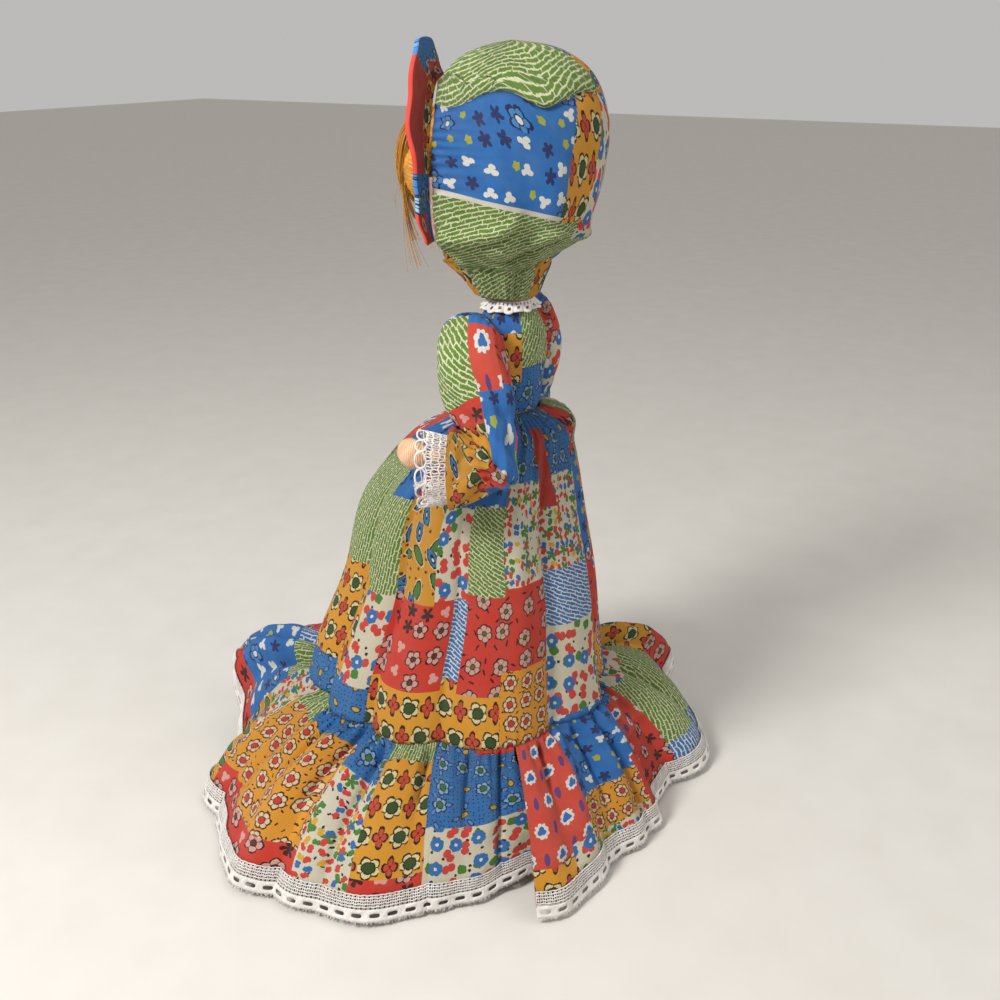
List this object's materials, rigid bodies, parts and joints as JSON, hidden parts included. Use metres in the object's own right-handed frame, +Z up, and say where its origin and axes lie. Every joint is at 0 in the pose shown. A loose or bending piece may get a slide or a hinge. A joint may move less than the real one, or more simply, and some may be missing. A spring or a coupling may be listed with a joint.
{
  "type": "patchwork doll",
  "caption": "Slim cloth doll standing in a gathered patchwork dress and bonnet, with a head that turns and with arms and legs that swing at the shoulders and hips.",
  "frame": {"origin": "on the floor under the middle of the doll's outline seen from above", "axes": "+Z up; the doll's body faces -Y and its left arm is on the +X side"},
  "size_m": [0.2244, 0.2102, 0.3008],
  "materials": {
    "patchwork_cotton": "printed cotton in patchwork squares, soft and matt",
    "bonnet_cotton": "the same printed cotton, gathered",
    "brim_cotton": "the same printed cotton over a stiff lining",
    "lace": "white cotton lace with eyelets and a fringed edge",
    "muslin": "plain undyed cotton",
    "skin_cotton": "smooth peach cotton, stretched tight",
    "hand_thread": "peach thread wound over a padded core",
    "hair_floss": "golden brown floss with a sheen",
    "felt": "dark brown felt",
    "wood": "plain turned wood",
    "wire": "bright steel wire"
  },
  "bodies": {
    "body": {"torso": "muslin", "neck_post": "wood", "shoulder_wire": "wire", "hip_wire": "wire", "neck": "skin_cotton", "bodice": "patchwork_cotton", "neck_lace": "lace", "skirt": "patchwork_cotton", "flounce": "patchwork_cotton", "hem_lace": "lace"},
    "head": {"head": "skin_cotton", "left_curl": "hair_floss", "right_curl": "hair_floss", "hair": "hair_floss", "bonnet_crown": "bonnet_cotton", "bonnet_brim": "brim_cotton"},
    "left_arm": {"left_arm": "skin_cotton", "left_hand": "hand_thread", "left_sleeve": "patchwork_cotton", "left_cuff_lace": "lace"},
    "right_arm": {"right_arm": "skin_cotton", "right_hand": "hand_thread", "right_sleeve": "patchwork_cotton", "right_cuff_lace": "lace"},
    "left_leg": {"left_leg": "muslin", "left_shoe": "felt"},
    "right_leg": {"right_leg": "muslin", "right_shoe": "felt"}
  },
  "joints": [
    {"name": "neck_turn", "type": "hinge", "parent": "body", "child": "head", "pos_m": [-0.00276, 0.03091, 0.229], "axis": [0, 0, 1], "range_deg": [-75, 35]},
    {"name": "left_shoulder_swing", "type": "hinge", "parent": "body", "child": "left_arm", "pos_m": [0.01464, 0.02591, 0.202], "axis": [-1, 0, 0], "range_deg": [-10, 80]},
    {"name": "right_shoulder_swing", "type": "hinge", "parent": "body", "child": "right_arm", "pos_m": [-0.02016, 0.02591, 0.202], "axis": [-1, 0, 0], "range_deg": [-55, 35]},
    {"name": "left_hip_swing", "type": "hinge", "parent": "body", "child": "left_leg", "pos_m": [0.00824, 0.03091, 0.146], "axis": [-1, 0, 0], "range_deg": [-10, 20]},
    {"name": "right_hip_swing", "type": "hinge", "parent": "body", "child": "right_leg", "pos_m": [-0.01376, 0.03091, 0.146], "axis": [-1, 0, 0], "range_deg": [-10, 20]}
  ]
}
